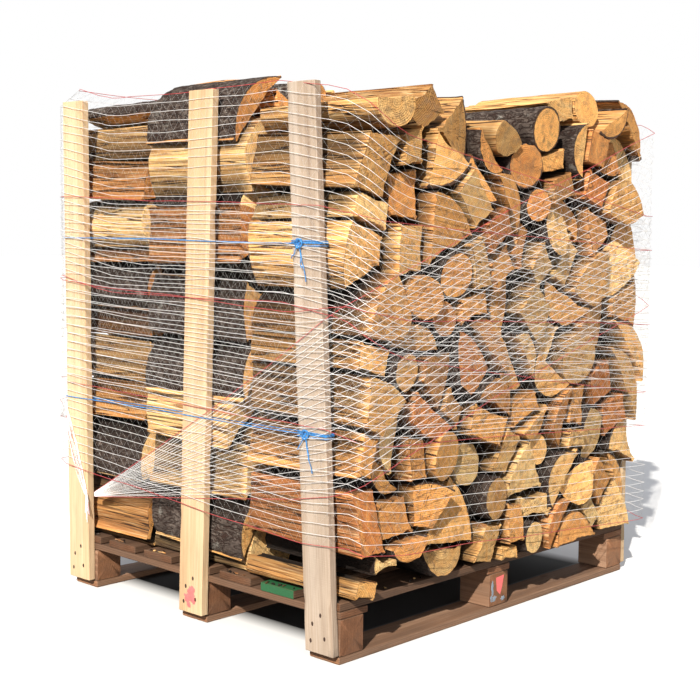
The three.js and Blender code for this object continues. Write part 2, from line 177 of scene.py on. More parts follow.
class Builder:
    """Gathers many closed shapes into one mesh, with materials and numbers for the shaders."""

    def __init__(self):
        self.points = []
        self.faces = {3: [], 4: []}
        self.slots = {3: [], 4: []}
        self.grain = []
        self.tone = []
        self.count = 0

    def add(self, points, groups, grain=(0, 0, 0), tone=(0.5, 0.5, 0.5)):
        """groups is a list of (faces, slot); the faces of one group have the same number of sides."""
        points = np.asarray(points, float)
        for faces, slot in groups:
            faces = np.asarray(faces, np.int64)
            sides = faces.shape[1]
            self.faces[sides].append(faces + self.count)
            self.slots[sides].append(np.broadcast_to(np.asarray(slot, np.int32), (len(faces),)))
        self.points.append(points)
        self.grain.append(np.broadcast_to(np.asarray(grain, float), points.shape))
        self.tone.append(np.broadcast_to(np.asarray(tone, float), points.shape))
        self.count += len(points)

    def finish(self, name, materials, crease):
        """Makes the mesh. Edges that turn less than the crease angle are shaded smooth."""
        mesh = bpy.data.meshes.new(name)
        loops = []
        starts = []
        slots = []
        total = 0
        for sides in (3, 4):
            if self.faces[sides]:
                faces = np.concatenate(self.faces[sides])
                loops.append(faces.ravel())
                starts.append(total + sides * np.arange(len(faces)))
                slots.append(np.concatenate(self.slots[sides]))
                total += faces.size
        starts = np.concatenate(starts)
        mesh.vertices.add(self.count)
        mesh.vertices.foreach_set("co", np.concatenate(self.points).ravel())
        mesh.loops.add(total)
        mesh.loops.foreach_set("vertex_index", np.concatenate(loops).astype(np.int32))
        mesh.polygons.add(len(starts))
        mesh.polygons.foreach_set("loop_start", starts.astype(np.int32))
        mesh.polygons.foreach_set("material_index", np.concatenate(slots).astype(np.int32))
        for material in materials:
            mesh.materials.append(material)
        mesh.update(calc_edges=True)
        mesh.validate()
        for label, values in (("grain", self.grain), ("tone", self.tone)):
            attribute = mesh.attributes.new(label, "FLOAT_VECTOR", "POINT")
            attribute.data.foreach_set("vector", np.concatenate(values).ravel())
        mesh.shade_smooth()
        mesh.set_sharp_from_angle(angle=crease)
        piece = bpy.data.objects.new(name, mesh)
        bpy.context.scene.collection.objects.link(piece)
        return piece


def ring_quads(rings, around):
    """The quads of a tube whose points are stored ring by ring."""
    ring, side = np.meshgrid(np.arange(rings - 1), np.arange(around), indexing="ij")
    here = ring * around + side
    beside = ring * around + (side + 1) % around
    return np.stack([here, beside, beside + around, here + around], axis=-1).reshape(-1, 4)


def fan(ring, centre):
    """The triangles from a ring of points to one point in its middle."""
    return np.column_stack([ring, np.roll(ring, -1), np.full(len(ring), centre)])


def settle(piece, slot, *nodes):
    """Fixes a piece to the body and hides the plain nodes that it stands for. Its slot is not used."""
    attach(piece, "root")
    if nodes:
        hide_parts(*nodes)


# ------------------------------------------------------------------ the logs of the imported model

GRID = 0.02 * MM
PLANE_STEP = 0.06 * MM


def node_triangles(node):
    mesh = NODES[node].data
    mesh.calc_loop_triangles()
    points = np.empty(len(mesh.vertices) * 3, np.float32)
    mesh.vertices.foreach_get("co", points)
    corners = np.empty(len(mesh.loop_triangles) * 3, np.int32)
    mesh.loop_triangles.foreach_get("vertices", corners)
    return points.reshape(-1, 3).astype(float)[corners].reshape(-1, 3, 3)


def outline(triangles):
    """The longest outline round some triangles that lie in one plane, as X and Z values."""
    edges = set()
    for triangle in triangles:
        keys = [tuple(np.round(point[[0, 2]] / GRID).astype(int)) for point in triangle]
        edges.update(zip(keys, keys[1:] + keys[:1]))
    after = {start: end for start, end in edges if (end, start) not in edges}
    best = []
    while after:
        start, point = after.popitem()
        loop = [start]
        while point in after:
            loop.append(point)
            point = after.pop(point)
        if len(loop) > len(best):
            best = loop
    return np.array(best, float) * GRID


def cleaned(section, near=3 * MM, straight=math.radians(4)):
    """Joins points that lie close together, and drops points on a straight side."""
    points = list(section)
    changed = True
    while changed and len(points) > 3:
        changed = False
        for i in range(len(points)):
            before, here, after = points[i - 1], points[i], points[(i + 1) % len(points)]
            arriving, leaving = here - before, after - here
            turn = math.atan2(arriving[0] * leaving[1] - arriving[1] * leaving[0], arriving @ leaving)
            if np.hypot(*leaving) < near:
                points[i] = (here + after) / 2
                del points[(i + 1) % len(points)]
                changed = True
                break
            if turn < straight:
                del points[i]
                changed = True
                break
    return np.array(points)


def log_ends(node, facing):
    """The section and plane of every log end in a node that faces along -Y or +Y."""
    triangles = node_triangles(node)
    normals = np.cross(triangles[:, 1] - triangles[:, 0], triangles[:, 2] - triangles[:, 0])
    along = normals[:, 1] / np.maximum(np.linalg.norm(normals, axis=1), 1e-12)
    ends = triangles[along * facing > 0.9995]
    planes = np.round(ends[:, :, 1].mean(axis=1) / PLANE_STEP).astype(int)
    found = []
    for plane in np.unique(planes):
        group = ends[planes == plane]
        loop = outline(group)[::-facing]
        if len(loop) > 2:
            found.append((cleaned(loop), group[:, :, 1].mean()))
    return found


class Log:
    """One split log: its section in X and Z, anticlockwise seen from -Y, and its two end planes."""

    def __init__(self, section, front, back):
        self.section = section
        self.front = front
        self.back = back
        self.middle = section.mean(axis=0)
        self.width, self.height = np.ptp(section, axis=0)


def row_logs(row, facing):
    """Every log of a row's stack. Ends that face one way each have a plane, and none is flush."""
    node = f"{row}_row_logs"
    low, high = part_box(node)
    logs = []
    for section, plane in log_ends(node, facing):
        front, back = (plane, high.y) if facing < 0 else (low.y, plane)
        if back - front > 0.1 * MM:
            logs.append(Log(section, front, back))
    return logs


def loose_logs(row):
    """The logs that are nodes of their own, by node name."""
    found = {}
    for node in sorted(name for name in NODES if name.startswith(f"{row}_top")):
        low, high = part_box(node)
        found[node] = Log(log_ends(node, -1)[0][0], low.y, high.y)
    return found


def middle_row_logs(near, near_loose, middle_loose):
    """The middle row is stacked as the near row is, mirrored from left to right."""
    low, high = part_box("middle_row_logs")
    logs = []
    for log in near + list(near_loose.values()):
        copy = Log(log.section[::-1] * (-1, 1), low.y, high.y)
        if all(np.hypot(*(copy.middle - loose.middle)) > 9 * MM for loose in middle_loose.values()):
            logs.append(copy)
    return logs


# ------------------------------------------------------------------ log meshes

END, SPLIT, BARK = 0, 1, 2
ARC_TURN = math.radians(66)
# An arc with a larger radius than a tree's isn't bark; a log without bark has nearly flat rings.
LARGEST_TREE = 0.22
FLAT_RINGS = 10.0
BARKED_SHARE = 0.66
LOG_CREASE = math.radians(23)
# The spacing of points round a log: where its sides are seen, where its end is, and elsewhere.
STEP_SIDE = 6.5 * MM
STEP_END = 9 * MM
STEP_HIDDEN = 26 * MM
STEP_ALONG = 22 * MM
HIDDEN_SHARES = np.array([0.05, 0.14, 0.3, 0.65])
# How far a bark arc may rise over its chord, and how far a log's ends may tip.
MOST_RISE = 7 * MM
MOST_TIP = 4 * MM
TIPPED_ABOVE = 0.26
END_BEVEL = 2.2 * MM
END_RINGS = (0.9, 0.68, 0.36)
# How near the stack's sides and top a log has to reach to show its own sides.
SIDES_SEEN = 60 * MM
TOPS_SEEN = 0.13
LOOSE_SEED = 200


def corner_turns(section):
    """How sharply the outline turns at each corner of a section."""
    arriving = section - np.roll(section, 1, axis=0)
    leaving = np.roll(section, -1, axis=0) - section
    cross = arriving[:, 0] * leaving[:, 1] - arriving[:, 1] * leaving[:, 0]
    return np.arctan2(cross, np.sum(arriving * leaving, axis=1))


def circle_centre(a, b, c):
    """The centre of the circle through three points."""
    rows = 2 * np.array([b - a, c - a])
    values = np.array([b @ b - a @ a, c @ c - a @ a])
    return np.linalg.solve(rows, values)


def growth(log, random):
    """The pith of the tree that a log was split from, its radius, and which sides are bark side."""
    section = log.section
    count = len(section)
    on_arc = corner_turns(section) < ARC_TURN
    spots = np.flatnonzero(on_arc)
    if len(spots):
        i = spots[len(spots) // 2]
        pith = circle_centre(section[i - 1], section[i], section[(i + 1) % count])
        radius = np.hypot(*(section[i] - pith))
        if radius < LARGEST_TREE:
            return pith, radius, on_arc | np.roll(on_arc, -1)
    angle = random.uniform(0, TURN)
    reach = random.uniform(0.5, 1.3) * max(log.width, log.height)
    pith = log.middle + reach * np.array([math.cos(angle), math.sin(angle)])
    return pith, FLAT_RINGS, np.zeros(count, bool)


def section_outline(log, radius, sides, step):
    """Points round a section: arcs on the bark sides, and sides cut short at each corner.

    An arc starts and ends at its side's own corners, and its rise is limited, so that a log keeps
    to its section and out of its neighbours.
    """
    points = []
    normals = []
    bark = []
    section = log.section
    for i, start in enumerate(section):
        side = section[(i + 1) % len(section)] - start
        length = np.hypot(*side)
        along = side / length
        outward = np.array([along[1], -along[0]])
        half = min(length / 2, radius)
        rise = min(radius - math.sqrt(radius ** 2 - half ** 2), MOST_RISE) if sides[i] else 0
        count = max(2, round(length / step))
        for share in (np.arange(count) + 0.5) / count:
            normal = outward - 4 * rise * (1 - 2 * share) / length * along
            points.append(start + share * side + 4 * rise * share * (1 - share) * outward)
            normals.append(normal / np.hypot(*normal))
            bark.append(sides[i])
    return np.array(points), np.array(normals), np.array(bark)


def rough_sides(places, bark, barked, seed):
    """How far each point of a log's side lies inside its section."""

    def bumps(across, along, number):
        return noise(places, (across * MM, along, across * MM), seed + number)

    fibre = bumps(34, 0.5, 0)
    splinter = np.abs(bumps(13, 0.26, 1))
    strand = bumps(7, 0.12, 2)
    tear = np.maximum(0, bumps(38, 0.2, 3) - 0.2)
    split = (3.4 + 3.3 * fibre + 4.2 * splinter + 1.3 * strand + 9 * tear) * MM
    lump = bumps(26, 0.04, 4)
    plate = np.abs(bumps(12, 0.03, 5))
    rind = (1.9 + 1.2 * lump + (4.2 * plate if barked else 0.8 * strand)) * MM
    return np.where(bark, rind, split)


def lengthwise(log, fine, facing):
    """Where along a log its rings of points lie, from 0 at the front to 1 at the back."""
    length = log.back - log.front
    if fine:
        inner = np.linspace(0, 1, max(4, round(length / STEP_ALONG)) + 1)[1:-1]
    else:
        inner = HIDDEN_SHARES if facing < 0 else 1 - HIDDEN_SHARES[::-1]
    edge = END_BEVEL / length
    return np.concatenate([[0, edge], inner, [1 - edge, 1]])


def in_the_open(places, log, facing):
    """From 0 deep in the stack to 1 at its outside, for the shade painted between the logs."""
    low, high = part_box("near_row_logs")
    depth = places[:, 1] - log.front if facing < 0 else log.back - places[:, 1]
    from_side = np.minimum(places[:, 0] - low.x, high.x - places[:, 0])
    from_top = high.z - 40 * MM - places[:, 2]
    nearest = np.minimum(from_side / (17 * MM), np.maximum(from_top, 0) / (60 * MM))
    return np.exp(-np.maximum(0, np.minimum(nearest, depth / (32 * MM))))


def side_rings(log, ring, shares, fine, random):
    """The points of a log's side, ring by ring. Its ends are cut askew, and it tapers and tips."""
    spread = ring - log.middle
    away = spread @ random.normal(0, 0.11, 2)
    front = log.front + away - away.min()
    away = spread @ random.normal(0, 0.06, 2)
    back = log.back + away - away.max()
    taper = random.uniform(-0.05, 0.05)
    tips = fine and log.middle[1] > TIPPED_ABOVE
    tip = np.clip(random.normal(0, 6) * MM, -MOST_TIP, MOST_TIP) if tips else 0
    rows = []
    for share in shares:
        size = 1 - max(0, taper * share) - max(0, -taper * (1 - share))
        if share in (0, 1):
            size -= 1.8 * MM / min(log.width, log.height)
        flat = log.middle + spread * size
        y = front + share * (back - front)
        rows.append(rows_of(flat[:, 0], y, flat[:, 1] + tip * (2 * share - 1)))
    return np.concatenate(rows)


def log_end(side, around, first, last, seen, seed):
    """A log's sawn end: its points, numbered from first, and its faces. A seen end is uneven."""
    outer = np.arange(around) + (len(side) - around if last else 0)
    rim = side[outer]
    middle = rim.mean(axis=0)
    turn = 1 if last else -1
    points = []
    groups = []
    for shrink in END_RINGS if seen else ():
        loop = middle + (rim - middle) * shrink
        coarse = noise(loop, (15 * MM, 1, 15 * MM), seed + 7)
        small = noise(loop, (5 * MM, 1, 5 * MM), seed + 8)
        loop[:, 1] += 1.1 * MM * (coarse + 0.6 * small) * (1 - shrink ** 8)
        points.append(loop)
        ids = first + np.arange(around)
        first += around
        strip = np.column_stack([outer, np.roll(outer, -1), np.roll(ids, -1), ids])
        groups.append((strip[:, ::turn], END))
        outer = ids
    points.append(middle[None])
    groups.append((fan(outer, first)[:, ::turn], END))
    return points, groups


def add_log(builder, log, seed, fine=True, facing=-1, plain=False):
    """Adds one log: a side with fibres or bark, and two sawn ends."""
    random = np.random.default_rng(seed)
    pith, radius, sides = growth(log, random)
    barked = bool(sides.any()) and random.random() < BARKED_SHARE
    step = STEP_HIDDEN if plain else STEP_SIDE if fine else STEP_END
    ring, normals, bark = section_outline(log, radius, sides, step)
    around = len(ring)
    shares = np.array([0.0, 1.0]) if plain else lengthwise(log, fine, facing)
    count = len(shares)
    places = side_rings(log, ring, shares, fine, random)
    inset = np.full(len(places), 3 * MM)
    if not plain:
        inset = rough_sides(places, np.tile(bark, count), barked, seed)
    wild = noise(rows_of(ring[:, 0], 0, ring[:, 1]), (46 * MM, 1, 46 * MM), seed + 6)
    inset = inset + np.tile((2.2 if fine else 3.4) * MM * (1 + wild), count)
    places[:, [0, 2]] -= np.tile(normals, (count, 1)) * inset[:, None]
    side_slot = np.where(bark & barked, BARK, SPLIT)
    points = [places]
    groups = [(ring_quads(count, around), np.tile(side_slot, count - 1))]
    for last in (False, True):
        seen = not plain and last == (facing > 0)
        more, faces = log_end(places, around, sum(map(len, points)), last, seen, seed)
        points += more
        groups += faces
    points = np.concatenate(points)
    tone = (random.beta(1.5, 2.2), random.normal(0.5, 0.18), random.random())
    tone = np.tile(tone, (len(points), 1))
    inner = slice(around, len(places) - around)
    # The third tone number of the inner side points is how open they lie, for the painted shade deep in
    # the stack.
    tone[inner, 2] = in_the_open(points[inner], log, facing)
    corners = log.section[sides | np.roll(sides, 1)]
    farthest = np.hypot(*(corners - pith).T).max() if len(corners) else radius
    rind = farthest - (random.uniform(7, 12) * MM if barked else -1)
    builder.add(points, groups, (pith[0], rind, pith[1]), tone)


def shows_its_sides(log):
    """Whether a log lies at the edge of the stack, where its sides are seen."""
    low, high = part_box("near_row_logs")
    x, z = log.section.T
    beside = x.min() < low.x + SIDES_SEEN or x.max() > high.x - SIDES_SEEN
    return beside or z.max() > high.z - TOPS_SEEN


def build_logs(materials):
    """Every log as a mesh of its own, gathered into pieces by row and by whether its sides are seen."""
    near = row_logs("near", -1)
    loose = {row: loose_logs(row) for row in ("near", "middle", "far")}
    middle = middle_row_logs(near, loose["near"], loose["middle"])
    rows = (("near", near, -1, 100), ("middle", middle, -1, 400), ("far", row_logs("far", 1), 1, 700))
    for row, logs, facing, first_seed in rows:
        for part, fine in (("outer", True), ("inner", False)):
            plain = row == "middle" and not fine
            builder = Builder()
            for i, log in enumerate(logs):
                if shows_its_sides(log) == fine:
                    add_log(builder, log, first_seed + i, fine, facing, plain)
            piece = builder.finish(f"{row}_logs_{part}", materials, LOG_CREASE)
            settle(piece, "split_wood", f"{row}_row_logs")
        for i, (node, log) in enumerate(loose[row].items()):
            builder = Builder()
            add_log(builder, log, first_seed + LOOSE_SEED + i, True, facing)
            settle(builder.finish(f"{node}_split", materials, LOG_CREASE), "split_wood", node)


# ------------------------------------------------------------------ materials


class Shader:
    """A new material and short ways to add nodes to it."""

    def __init__(self, name, roughness):
        self.material = bpy.data.materials.new(name)
        self.material.use_nodes = True
        self.tree = self.material.node_tree
        self.surface = self.tree.nodes["Principled BSDF"]
        self.surface.inputs["Roughness"].default_value = roughness
        self.surface.inputs["Specular IOR Level"].default_value = 0.25

    def node(self, kind, settings=None, **inputs):
        """Adds a node. An input is named, or numbered as i0, i1 and so on."""
        made = self.tree.nodes.new("ShaderNode" + kind)
        for key, value in (settings or {}).items():
            setattr(made, key, value)
        for key, value in inputs.items():
            self.feed(made.inputs[int(key[1:]) if key[1:].isdigit() else key], value)
        return made

    def feed(self, socket, value):
        if isinstance(value, bpy.types.NodeSocket):
            self.tree.links.new(value, socket)
        else:
            socket.default_value = value

    def math(self, operation, a, b=0.0, c=0.0):
        return self.node("Math", {"operation": operation}, i0=a, i1=b, i2=c).outputs[0]

    def times(self, a, b):
        return self.math("MULTIPLY", a, b)

    def plus(self, a, b):
        return self.math("ADD", a, b)

    def minus(self, a, b):
        return self.math("SUBTRACT", a, b)

    def scaled(self, value, factor, added):
        """value x factor + added."""
        return self.math("MULTIPLY_ADD", value, factor, added)

    def ridge(self, value):
        """How far a noise lies from its middle: zero along thin winding lines."""
        return self.math("ABSOLUTE", self.minus(value, 0.5))

    def length(self, x, y):
        return self.math("SQRT", self.scaled(x, x, self.times(y, y)))

    def stretch(self, vector, factors):
        return self.node("VectorMath", {"operation": "MULTIPLY"}, i0=vector, i1=factors).outputs[0]

    def place(self, factors=(1, 1, 1)):
        """The point's place, stretched along each axis."""
        return self.stretch(self.node("NewGeometry").outputs["Position"], factors)

    def split(self, vector):
        return self.node("SeparateXYZ", None, Vector=vector).outputs

    def grey(self, value):
        return self.node("CombineXYZ", None, i0=value, i1=value, i2=value).outputs[0]

    def attribute(self, name):
        return self.node("Attribute", {"attribute_name": name}).outputs["Vector"]

    def noise(self, vector, scale, detail=3.0, roughness=0.55, distortion=0.0):
        made = self.node("TexNoise", None, Vector=vector, Scale=scale, Detail=detail)
        made.inputs["Roughness"].default_value = roughness
        made.inputs["Distortion"].default_value = distortion
        return made.outputs["Fac"]

    def ramp(self, value, *stops):
        made = self.node("ValToRGB", None, Fac=value)
        set_stops(made.color_ramp, stops)
        return made.outputs["Color"]

    def mix(self, share, a, b, blend="MIX"):
        made = self.node("Mix", {"data_type": "RGBA", "blend_type": blend})
        for socket, value in zip((0, 6, 7), (share, a, b)):
            self.feed(made.inputs[socket], (*value, 1) if isinstance(value, tuple) else value)
        return made.outputs[2]

    def dim(self, colour, value, share=1.0):
        """Multiplies a colour by a grey value."""
        return self.mix(share, colour, self.grey(value), "MULTIPLY")

    def tint(self, colour, other, value, *stops):
        """Mixes another colour in, by as much as the stops say along a value."""
        return self.mix(self.ramp(value, *stops), colour, other)

    def finish(self, colour, height=None, strength=0.5, depth=1.0 * MM):
        self.feed(self.surface.inputs["Base Color"], colour)
        if height is not None:
            bump = self.node("Bump", None, Strength=strength, Distance=depth, Height=height)
            self.feed(self.surface.inputs["Normal"], bump.outputs["Normal"])
        return self.material


PALE_WOOD = (1.0, 0.70, 0.31)
WARM_WOOD = (0.93, 0.47, 0.14)
RED_WOOD = (0.58, 0.20, 0.055)
GREY_WOOD = (0.22, 0.135, 0.08)
# Painted shade, near black, for log sides that lie deep in the stack.
GAP_SHADE = (0.016, 0.010, 0.007)
CRACK_WOOD = (0.07, 0.028, 0.012)
END_CRACK = (0.06, 0.026, 0.012)
SPECK_WOOD = (0.36, 0.17, 0.06)
DULL_WOOD = (0.44, 0.25, 0.12)
LINE_WOOD = (0.20, 0.075, 0.028)
FIBRE_DARK = (0.38, 0.155, 0.055)
FIBRE_PALE = (1.0, 0.80, 0.47)
BARK_RIM = (0.085, 0.048, 0.032)
BARK_TONES = ((0.34, (0.030, 0.021, 0.017)), (0.58, (0.105, 0.078, 0.064)), (0.80, (0.27, 0.225, 0.19)))
BARK_CRACK = (0.035, 0.014, 0.009)
LICHEN = (0.34, 0.32, 0.28)
KNOT = (0.17, 0.07, 0.025)
PLANK_DIRT = (0.13, 0.085, 0.06)
RINGS_PER_METRE = 210.0
# The angle of one ring on a plank. The rings lie far from the pith, so its last digits place them.
PLANK_RING = 6.283


def log_colour(shader, tone, streak):
    """Wood colour from pale to red, by how warm the log is and by a streak pattern."""
    mixed = shader.plus(tone[0], shader.scaled(streak, 0.8, -0.42))
    wood = shader.ramp(mixed, (0.06, PALE_WOOD), (0.48, WARM_WOOD), (0.98, RED_WOOD))
    return shader.dim(wood, shader.scaled(tone[1], 0.85, 0.56))


def end_grain():
    """The sawn end of a log: rings about the pith, checks that run out from it, and a bark rim."""
    shader = Shader("end_grain", 0.85)
    tone = shader.split(shader.attribute("tone"))
    pith_x, rim, pith_z = shader.split(shader.attribute("grain"))
    spot = shader.split(shader.place())
    x = shader.minus(spot[0], pith_x)
    z = shader.minus(spot[2], pith_z)
    reach = shader.length(x, z)
    wobble = shader.noise(shader.place(), 17.0)
    years = shader.times(shader.scaled(wobble, 0.016, reach), RINGS_PER_METRE)
    ring = shader.math("SINE", shader.times(years, TURN))
    bands = shader.node("TexNoise", {"noise_dimensions": "1D"}, W=years, Scale=0.30, Detail=2.0)
    angle = shader.math("ARCTAN2", z, x)
    ray = shader.node(
        "CombineXYZ",
        None,
        i0=shader.times(shader.math("SINE", angle), 7.0),
        i1=shader.times(shader.math("COSINE", angle), 7.0),
        i2=shader.scaled(reach, 6.0, shader.times(tone[2], 40.0)),
    ).outputs[0]
    crack = shader.ramp(shader.ridge(shader.noise(ray, 2.6, 2.0, 0.5)), (0.004, 0.0), (0.026, 1.0))
    patch = shader.noise(shader.place(), 22.0, 4.0, 0.6)
    speck = shader.noise(shader.place(), 330.0, 2.0, 0.6)
    grime = shader.noise(shader.place(), 55.0, 5.0, 0.7)
    broken = shader.noise(shader.place(), 9.0, 2.0)
    colour = log_colour(shader, tone, shader.scaled(bands.outputs["Fac"], 0.75, shader.times(patch, 0.5)))
    colour = shader.dim(colour, shader.scaled(ring, 0.13, 0.90), 0.9)
    colour = shader.tint(colour, SPECK_WOOD, speck, (0.36, 0.5), (0.48, 0.0))
    colour = shader.tint(colour, GREY_WOOD, grime, (0.48, 0.0), (0.70, 0.7))
    whole = shader.ramp(shader.plus(broken, crack), (0.44, 0.0), (0.56, 1.0))
    colour = shader.mix(whole, END_CRACK, colour)
    outside = shader.plus(reach, shader.scaled(grime, 0.006, -0.003))
    colour = shader.mix(shader.math("GREATER_THAN", outside, rim), colour, BARK_RIM)
    saw = shader.noise(shader.place((1, 1, 3.2)), 150.0, 3.0, 0.6)
    height = shader.plus(shader.times(ring, 0.14), shader.plus(saw, grime))
    return shader.finish(colour, shader.plus(height, whole), 1.0, 2.1 * MM)


def painted_gap_shade(shader, tone, colour):
    """Paints shade, near black, on the sides of a log where they lie deep in the stack."""
    return shader.mix(shader.ramp(tone[2], (0.08, 0.0), (0.78, 1.0)), GAP_SHADE, colour)


def split_face():
    """The torn side of a split log: long fibres and streaks along the grain."""
    shader = Shader("split_face", 0.78)
    tone = shader.split(shader.attribute("tone"))
    broad = shader.noise(shader.place((1, 0.09, 1)), 30.0, 4.0, 0.6, 0.4)
    fibre = shader.noise(shader.place((1, 0.035, 1)), 240.0, 4.0, 0.65)
    line = shader.noise(shader.place((1, 0.045, 1)), 90.0, 3.0, 0.6, 0.7)
    thread = shader.noise(shader.place((1, 0.028, 1)), 62.0, 2.0, 0.5, 0.5)
    weather = shader.noise(shader.place((1, 0.4, 1)), 7.0)
    crack = shader.ramp(shader.ridge(thread), (0.006, 0.0), (0.022, 1.0))
    colour = log_colour(shader, tone, shader.scaled(broad, 0.75, shader.times(line, 0.6)))
    colour = shader.mix(0.1, colour, DULL_WOOD)
    colour = shader.tint(colour, LINE_WOOD, line, (0.33, 0.85), (0.45, 0.0))
    colour = shader.tint(colour, FIBRE_DARK, fibre, (0.36, 0.62), (0.50, 0.0))
    colour = shader.tint(colour, FIBRE_PALE, fibre, (0.52, 0.0), (0.68, 0.45))
    colour = shader.mix(crack, CRACK_WOOD, colour)
    colour = shader.tint(colour, GREY_WOOD, weather, (0.55, 0.0), (0.8, 0.5))
    height = shader.scaled(line, 1.5, shader.scaled(fibre, 0.8, crack))
    return shader.finish(painted_gap_shade(shader, tone, colour), height, 1.0, 4.0 * MM)


def log_bark():
    """Dark furrowed bark with red-brown cracks and pale lichen."""
    shader = Shader("log_bark", 0.92)
    tone = shader.split(shader.attribute("tone"))
    furrow = shader.noise(shader.place((1, 0.34, 1)), 75.0, 3.0, 0.55, 1.4)
    scale = shader.noise(shader.place((1, 0.6, 1)), 150.0, 5.0, 0.72)
    broad = shader.noise(shader.place(), 15.0)
    lichen = shader.noise(shader.place(), 24.0, 4.0, 0.62)
    crack = shader.ramp(shader.ridge(furrow), (0.0, 0.0), (0.075, 1.0))
    colour = shader.ramp(shader.scaled(broad, 0.5, shader.times(scale, 0.6)), *BARK_TONES)
    colour = shader.mix(crack, BARK_CRACK, colour)
    colour = shader.tint(colour, LICHEN, lichen, (0.60, 0.0), (0.70, 0.6))
    height = shader.scaled(crack, 0.9, shader.times(scale, 0.9))
    return shader.finish(painted_gap_shade(shader, tone, colour), height, 1.0, 5.5 * MM)


def plain(name, colour, roughness, spread=0.12, scale=300.0, metallic=0.0, painted_glow=0.0):
    """One colour with a little variation. The glow given is painted light: an emission that stands in for
    light that comes through a thin yarn.
    """
    shader = Shader(name, roughness)
    shader.surface.inputs["Metallic"].default_value = metallic
    shader.surface.inputs["Emission Color"].default_value = (*colour, 1)
    shader.surface.inputs["Emission Strength"].default_value = painted_glow
    cloud = shader.noise(shader.place(), scale)
    darker = tuple(value * (1 - spread) for value in colour)
    lighter = tuple(min(1, value * (1 + spread)) for value in colour)
    return shader.finish(shader.ramp(cloud, (0.3, darker), (0.7, lighter)), cloud, 0.3, 0.4 * MM)


def plank_wood(name, tones, grime, saw):
    """Sawn softwood: bands about a pith, drawn in the plank's own frame, with saw marks and knots."""
    pale, middle, dark = tones
    shader = Shader(name, 0.75)
    grain = shader.attribute("grain")
    tone = shader.split(shader.attribute("tone"))
    spot = shader.split(grain)

    def pattern(across, along, detail=3.0, roughness=0.6):
        return shader.noise(shader.stretch(grain, (across, across, along)), 1.0, detail, roughness)

    bow = pattern(6, 0.9, 2.0, 0.55)
    fuzz = pattern(60, 1.6, 3.0, 0.55)
    fibre = pattern(300, 6)
    streak = pattern(26, 0.8)
    dirt = pattern(14, 3, 4.0, 0.65)
    marks = pattern(8, 420, 2.0)
    shift = shader.scaled(bow, 0.10, shader.times(tone[2], 0.05))
    x = shader.minus(shader.plus(spot[0], shift), shader.math("SNAP", spot[0], 0.4))
    y = shader.plus(spot[1], 0.02)
    years = shader.scaled(shader.length(x, y), RINGS_PER_METRE, shader.times(fuzz, 1.6))
    ring = shader.scaled(shader.math("SINE", shader.times(years, PLANK_RING)), 0.5, 0.5)
    value = shader.scaled(ring, 0.26, shader.times(streak, 0.62))
    value = shader.plus(value, shader.scaled(tone[0], 0.34, -0.12))
    colour = shader.ramp(value, (0.2, pale), (0.52, middle), (0.92, dark))
    colour = shader.tint(colour, dark, fibre, (0.34, 0.35), (0.52, 0.0))
    cells = shader.stretch(grain, (9, 9, 3.4))
    knots = shader.node("TexVoronoi", {"feature": "F1"}, Vector=cells, Scale=1.0, Randomness=1.0)
    knot = shader.ramp(knots.outputs["Distance"], (0.055, 1.0), (0.10, 0.0))
    colour = shader.mix(shader.times(knot, 0.8), colour, KNOT)
    colour = shader.tint(colour, PLANK_DIRT, dirt, (0.46, 0.0), (0.78, grime))
    colour = shader.dim(colour, shader.scaled(tone[1], 0.34, 0.74))
    height = shader.scaled(marks, saw, shader.plus(fibre, shader.times(ring, 0.3)))
    return shader.finish(colour, height, 0.8, 1.0 * MM)


# ------------------------------------------------------------------ planks

SIDE, CUT = 0, 1
PLANK_CREASE = math.radians(38)
POST_WIDTH = 88 * MM
POST_THICK = 22 * MM
PLANK_CORNER = 1.7 * MM
PLANK_BEVEL = 1.2 * MM
WEAR = 0.9 * MM
EDGE_OF_PLANK = 1.3
POST_TONES = {
    "post_left_front": (0.62, 0.35, 0.30),
    "post_left_middle": (0.30, 0.85, 0.55),
    "post_left_back": (0.20, 0.95, 0.15),
    "post_right_front": (0.40, 0.60, 0.70),
    "post_right_middle": (0.60, 0.50, 0.10),
    "post_right_back": (0.30, 0.80, 0.90),
}
BLOCK_TONES = {
    "block_left_front": (0.95, 0.42, 0.3),
    "block_middle_front": (0.62, 0.50, 0.8),
    "block_right_front": (0.12, 0.90, 0.5),
}
DECK_TONE = (0.85, -0.55, 0.4)
POST_WOOD = ((0.71, 0.54, 0.34), (0.63, 0.43, 0.245), (0.42, 0.235, 0.12))
FRONT_POST_WOOD = ((0.64, 0.53, 0.43), (0.52, 0.40, 0.30), (0.30, 0.20, 0.135))
POST_CUT = ((0.60, 0.42, 0.25), (0.48, 0.30, 0.16), (0.30, 0.17, 0.09))
PALLET_WOOD = ((0.38, 0.225, 0.14), (0.25, 0.135, 0.078), (0.12, 0.062, 0.036))
PALLET_CUT = ((0.40, 0.20, 0.10), (0.26, 0.115, 0.055), (0.12, 0.052, 0.026))
POST_SEED = 40


def rounded_rectangle(wide, thick, step, corner):
    """Points round a rectangle with its corners taken off, anticlockwise from its lower left."""
    points = []
    corners = np.array([(-1, -1), (1, -1), (1, 1), (-1, 1)]) * (wide / 2, thick / 2)
    for start, end in zip(corners, np.roll(corners, -1, axis=0)):
        inward = unit(end - start) * corner
        start, end = start + inward, end - inward
        count = max(1, round(np.hypot(*(end - start)) / step))
        points.extend(start + (end - start) * share for share in np.linspace(0, 1, count + 1))
    return np.array(points)


